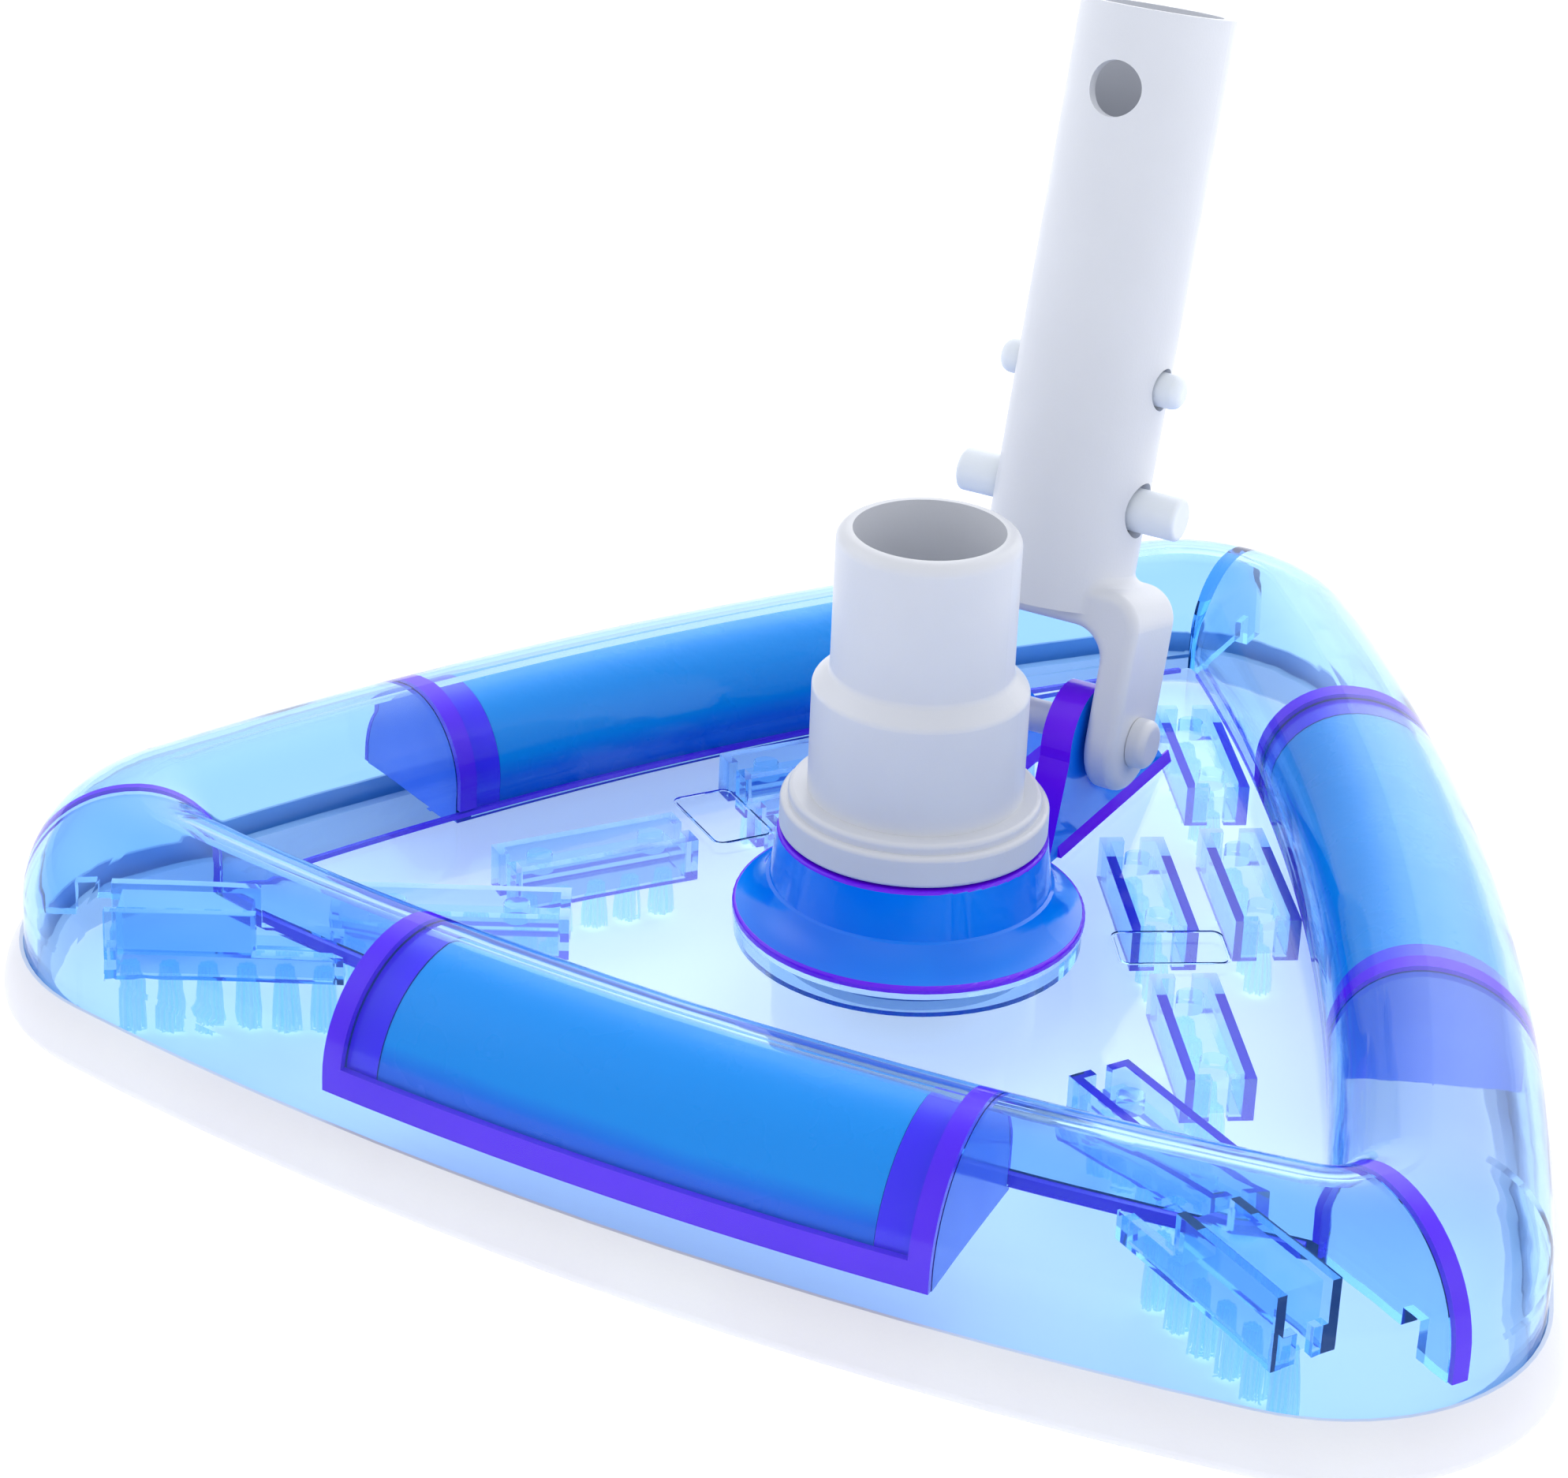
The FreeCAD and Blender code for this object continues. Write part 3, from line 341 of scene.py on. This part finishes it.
def paint(piece, *rules):
    """Give a CAD node its slot's material, and other materials to the faces that a rule picks out.

    A rule is a material's name and a test of a face's centre and normal.
    """
    piece.data.materials.clear()
    piece.data.materials.append(materials[node_slots[piece.name]])
    for number, (name, test) in enumerate(rules, start=1):
        piece.data.materials.append(materials[name])
        for face in piece.data.polygons:
            if test(face.center, face.normal):
                face.material_index = number


def from_collar(point):
    """Distance from the hose collar's axis."""
    return math.hypot(point.x - COLLAR_AXIS.x, point.y - COLLAR_AXIS.y)


def on_collar(centre, normal):
    return from_collar(centre) < COLLAR_FOOT and centre.z > JUST_ABOVE_PLATE


def on_collar_rim(centre, normal):
    return on_collar(centre, normal) and (centre.z > COLLAR_TOP or centre.z < COLLAR_HEM)


def on_ear(centre, normal):
    above_plate = centre.z > JUST_ABOVE_PLATE
    behind_collar = from_collar(centre) > COLLAR_FOOT and 0 < centre.y < EAR_BACK
    return above_plate and behind_collar and abs(centre.x) < EAR_OUTSIDE


def on_ear_side(centre, normal):
    return on_ear(centre, normal) and abs(normal.x) > 0.7 and centre.z < EAR_CROWN


def on_ear_edge(centre, normal):
    return on_ear(centre, normal) and abs(normal.x) <= 0.7


def on_foot(centre, normal):
    return normal.z < -0.99 and any(abs(centre.z - level) < 0.1 * MM for level in FOOT_LEVELS)


def on_end_wall(centre, normal):
    """The outer faces of the compartments' end walls, on all three sides."""
    for turn in TURNS.values():
        back = Matrix.Rotation(math.radians(-turn), 3, "Z")
        place = back @ (centre - COLLAR_AXIS)
        along = back @ normal
        beyond = abs(abs(place.x - BAY_AHEAD) - BAY_END) < BAY_END_SLACK
        if beyond and abs(along.x) > 0.9 and place.y < -SIDE_EDGE and centre.z > BAY_FLOOR:
            return along.x * (place.x - BAY_AHEAD) > 0
    return False


def on_cover_arch(turn):
    """A test for the arched ends of the cover that is on the side with this turn."""
    along = Matrix.Rotation(math.radians(turn), 3, "Z") @ Vector((1.0, 0.0, 0.0))

    def test(centre, normal):
        return centre.z > COVER_RIM and abs(normal.dot(along)) < 0.5

    return test


def finish_nodes():
    for name, piece in frame["nodes"].items():
        if name == "housing":
            paint(piece, ("deep_blue", on_collar), ("violet_edge", on_collar_rim), ("deep_blue", on_ear_side),
                  ("violet_edge", on_ear_edge), ("violet_edge", on_foot), ("wall_blue", on_end_wall))
        elif name.startswith("weight_cover"):
            turn = TURNS[name.rsplit("_", 1)[1]]
            paint(piece, ("violet_edge", on_cover_arch(turn)))
        else:
            paint(piece)


# ---------------------------------------------------------------- tinted edges in the clear shell

def turned(x, y, z, turn):
    """A place drawn about the collar's axis with the front side in front, turned to another side."""
    return Matrix.Rotation(math.radians(turn), 3, "Z") @ Vector((x, y, z)) + COLLAR_AXIS


def on_side(turn, d, z, along):
    radius = SIDE_RADIUS + d
    angle = along / (SIDE_RADIUS + RIM_CREST)
    return turned(radius * math.sin(angle), SIDE_BEHIND - radius * math.cos(angle), z, turn)


def on_corner(turn, d, z, across):
    return turned(across, CORNER_REACH + CORNER_RADIUS + d, z, turn)


def on_collar_circle(d, z, angle):
    return turned(d * math.sin(angle), -d * math.cos(angle), z, 0)


def dome_line(inset, bottom):
    """Points (d, z) over the rim's dome, a distance inside its surface, from the plate to a level outside."""
    points = [(inset, PLATE_TOP + TINT_START), (inset, RIM_FOOT)]
    inner = RIM_INNER_ROUND - inset
    outer = RIM_OUTER_ROUND - inset
    for step in range(1, 12):
        angle = math.radians(180 - 90 * step / 12)
        rise = inner * math.sin(angle)
        points.append((RIM_CREST + inner * math.cos(angle), RIM_TOP - RIM_INNER_ROUND + rise))
    for step in range(15):
        angle = math.radians(90 - 90 * step / 14)
        rise = outer * math.sin(angle)
        points.append((RIM_CREST + outer * math.cos(angle), RIM_TOP - RIM_OUTER_ROUND + rise))
    points.append((RIM_CREST + outer, bottom))
    return points


def lower_line(inset):
    """The part of the dome's line along a compartment's lower outside edge."""
    outer = RIM_OUTER_ROUND - inset
    points = []
    for level in (BAY_STRIP_TOP, 20.0 * MM, RIM_TOP - RIM_OUTER_ROUND, BAY_STRIP_BOTTOM):
        rise = max(0.0, level - (RIM_TOP - RIM_OUTER_ROUND))
        points.append((RIM_CREST + math.sqrt(outer ** 2 - rise ** 2), level))
    return points


def add_strip(name, outer, inner, where, stations):
    """A closed strip between two lines of (d, z) points, carried through some stations."""
    mesh = bmesh.new()
    rings = []
    for station in stations:
        over = [mesh.verts.new(where(d, z, station)) for d, z in outer]
        under = [mesh.verts.new(where(d, z, station)) for d, z in inner]
        rings.append((over, under))
    last = len(outer) - 1
    for (over, under), (next_over, next_under) in zip(rings, rings[1:]):
        for i in range(last):
            mesh.faces.new((over[i], over[i + 1], next_over[i + 1], next_over[i]))
            mesh.faces.new((under[i + 1], under[i], next_under[i], next_under[i + 1]))
        for i in (0, last):
            mesh.faces.new((over[i], under[i], next_under[i], next_over[i]))
    for over, under in (rings[0], rings[-1]):
        for i in range(last):
            mesh.faces.new((over[i], over[i + 1], under[i + 1], under[i]))
    return finish_piece(name, mesh, "violet_edge")


def finish_piece(name, mesh, material, body="head"):
    bmesh.ops.recalc_face_normals(mesh, faces=mesh.faces)
    data = bpy.data.meshes.new(name)
    mesh.to_mesh(data)
    mesh.free()
    data.shade_smooth()
    data.set_sharp_from_angle(angle=math.radians(35))
    data.materials.append(materials[material])
    piece = bpy.data.objects.new(name, data)
    bpy.context.scene.collection.objects.link(piece)
    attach(piece, body)
    return piece


def add_collar_ring():
    """The collar's upper edge."""
    outer = [(COLLAR_ROUND - TINT_START, level) for level in (COLLAR_TINT, COLLAR_TOP)]
    inner = [(COLLAR_ROUND - TINT_STOP, level) for level in (COLLAR_TINT, COLLAR_TOP)]
    stations = [math.tau * step / 72 for step in range(73)]
    add_strip("collar_ring", outer, inner, on_collar_circle, stations)


def add_ear_feet():
    """A small violet fillet where each ear meets the plate."""
    def where(d, z, along):
        return Vector((d, along, z))

    for side, sign in (("right", 1), ("left", -1)):
        for face, out, surface in (("outer", 1, EAR_SIDES[1]), ("inner", -1, EAR_SIDES[0])):
            surface *= sign
            out *= sign
            slope = [(surface + out * FILLET_OUT, PLATE_TOP), (surface, PLATE_TOP + FILLET_UP)]
            back = [(surface - out * FILLET_IN, level) for level in (PLATE_TOP, PLATE_TOP + FILLET_UP)]
            add_strip(f"ear_foot_{side}_{face}", slope, back, where, EAR_ENDS)


def add_tinted_edges():
    """The walls' and ribs' edges, which glow violet through the dome."""
    add_collar_ring()
    add_ear_feet()
    for side, turn in TURNS.items():
        where = lambda d, z, along, turn=turn: on_side(turn, d, z, along)
        over, under = (dome_line(inset, BAY_STRIP_BOTTOM) for inset in (TINT_START, TINT_STOP))
        for end, sign in (("ahead", 1), ("behind", -1)):
            stations = [BAY_AHEAD + sign * BAY_ROOM, BAY_AHEAD + sign * BAY_END]
            add_strip(f"bay_edge_{side}_{end}", over, under, where, stations)
        foot = [(RIM_WALL - TINT_START, level) for level in PLATE_EDGE]
        foot_inside = [(TINT_START, level) for level in PLATE_EDGE]
        stations = [SIDE_REACH * (step - 12) / 12 for step in range(25)]
        add_strip(f"plate_edge_{side}", foot, foot_inside, where, stations)
        stations = [BAY_AHEAD - BAY_ROOM + 2 * BAY_ROOM * step / 16 for step in range(17)]
        add_strip(f"bay_strip_{side}", lower_line(TINT_START), lower_line(TINT_STOP), where, stations)
    for corner, (turn, half) in RIB_EDGES.items():
        where = lambda d, z, across, turn=turn: on_corner(turn, d, z, across)
        over, under = (dome_line(inset, RIB_FOOT) for inset in (TINT_START, TINT_STOP))
        add_strip(f"rib_edge_{corner}", over, under, where, [-half, half])


# ---------------------------------------------------------------- bristles

def loose_parts(data):
    """The separate solids in a mesh, as lists of points."""
    neighbours = {vertex.index: [] for vertex in data.vertices}
    for edge in data.edges:
        first, second = edge.vertices
        neighbours[first].append(second)
        neighbours[second].append(first)
    parts = []
    while neighbours:
        todo = [next(iter(neighbours))]
        part = []
        while todo:
            index = todo.pop()
            if index in neighbours:
                todo += neighbours.pop(index)
                part.append(data.vertices[index].co.copy())
        parts.append(part)
    return parts


def add_filament(mesh, root, tip, bow):
    """One tapered filament from its root to its tip, bowed sideways between them."""
    rings = []
    for part in (0.0, 0.35, 0.7, 1.0):
        centre = root.lerp(tip, part) + bow * (4 * part * (1 - part))
        radius = FILAMENT_ROUND * (1 - 0.35 * part)
        ring = []
        for step in range(FILAMENT_SIDES):
            angle = math.tau * step / FILAMENT_SIDES
            out = Vector((math.cos(angle), math.sin(angle), 0.0))
            ring.append(mesh.verts.new(centre + radius * out))
        rings.append(ring)
    for ring, lower in zip(rings, rings[1:]):
        for i in range(FILAMENT_SIDES):
            j = (i + 1) % FILAMENT_SIDES
            mesh.faces.new((ring[i], ring[j], lower[j], lower[i]))
    mesh.faces.new(rings[0])
    mesh.faces.new(rings[-1])


def add_bristles(node, chance):
    """Bundles of filaments in place of a row of plain tufts."""
    mesh = bmesh.new()
    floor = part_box(node)[0].z
    for points in loose_parts(frame["nodes"][node].data):
        middle = sum(points, Vector()) / len(points)
        top = max(point.z for point in points)
        reach = max(math.hypot(point.x - middle.x, point.y - middle.y) for point in points)
        for step in range(FILAMENTS):
            out = (reach - FILAMENT_ROUND) * math.sqrt((step + 0.5) / FILAMENTS)
            angle = step * FILAMENT_TURN
            away = Vector((math.cos(angle), math.sin(angle), 0.0))
            root = Vector((middle.x, middle.y, top)) + 0.75 * out * away
            stray = Vector((chance.uniform(-1, 1), chance.uniform(-1, 1), 0.0)) * 0.4 * MM
            end = Vector((middle.x, middle.y, floor + chance.uniform(0.0, 0.5) * MM))
            tip = end + 1.15 * out * away + stray
            add_filament(mesh, root, tip, 0.25 * MM * away)
    piece = finish_piece(node.replace("bristles", "filaments"), mesh, "nylon_bristle")
    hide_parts(node)


def add_all_bristles():
    chance = random.Random(7)
    for node in [name for name in frame["nodes"] if name.startswith("bristles")]:
        add_bristles(node, chance)


# ---------------------------------------------------------------- floor and light

def add_floor():
    reach = 40.0
    corners = [(-reach, -reach, 0), (reach, -reach, 0), (reach, reach, 0), (-reach, reach, 0)]
    mesh = bpy.data.meshes.new("floor")
    mesh.from_pydata(corners, [], [(0, 1, 2, 3)])
    floor = bpy.data.objects.new("floor", mesh)
    floor.location.z = -0.2 * MM
    material, shader = new_material("pale_floor")
    shader.inputs["Base Color"].default_value = (0.93, 0.94, 0.96, 1.0)
    shader.inputs["Roughness"].default_value = 0.8
    shader.inputs["Specular IOR Level"].default_value = 0.1
    shader.inputs["Emission Color"].default_value = (0.97, 0.98, 1.0, 1.0)
    shader.inputs["Emission Strength"].default_value = 0.42
    mesh.materials.append(material)
    bpy.context.scene.collection.objects.link(floor)


def add_glow(background, total, toward, tightness, strength):
    """Add a soft-edged bright patch of studio wall to the light that comes from around."""
    tree = background.id_data
    place = tree.nodes.new("ShaderNodeTexCoord")
    dot = tree.nodes.new("ShaderNodeVectorMath")
    dot.operation = "DOT_PRODUCT"
    dot.inputs[1].default_value = Vector(toward).normalized()
    tree.links.new(place.outputs["Generated"], dot.inputs[0])
    source = dot.outputs["Value"]
    steps = (("MAXIMUM", 0.0), ("POWER", tightness), ("MULTIPLY", strength), ("ADD", total))
    for operation, value in steps:
        step = tree.nodes.new("ShaderNodeMath")
        step.operation = operation
        tree.links.new(source, step.inputs[0])
        if isinstance(value, float):
            step.inputs[1].default_value = value
        else:
            tree.links.new(value, step.inputs[1])
        source = step.outputs["Value"]
    return source


def light_scene():
    world = bpy.data.worlds.new("studio")
    world.use_nodes = True
    background = world.node_tree.nodes["Background"]
    background.inputs["Color"].default_value = (0.97, 0.98, 1.0, 1.0)
    total = 0.72
    total = add_glow(background, total, (-0.1, 0.9, 0.55), 7.0, 2.0)
    total = add_glow(background, total, (-0.9, -0.2, 0.6), 14.0, 1.3)
    total = add_glow(background, total, (0.2, -0.9, 0.35), 6.0, 0.3)
    total = add_glow(background, total, (0.95, 0.25, 0.4), 8.0, 0.7)
    world.node_tree.links.new(total, background.inputs["Strength"])
    bpy.context.scene.world = world
    bpy.context.scene.view_settings.view_transform = "Standard"
    bpy.context.scene.cycles.max_bounces = 24
    bpy.context.scene.cycles.transmission_bounces = 24
    bpy.context.scene.cycles.transparent_max_bounces = 32


add_camera()
finish_nodes()
add_tinted_edges()
add_all_bristles()
add_floor()
light_scene()
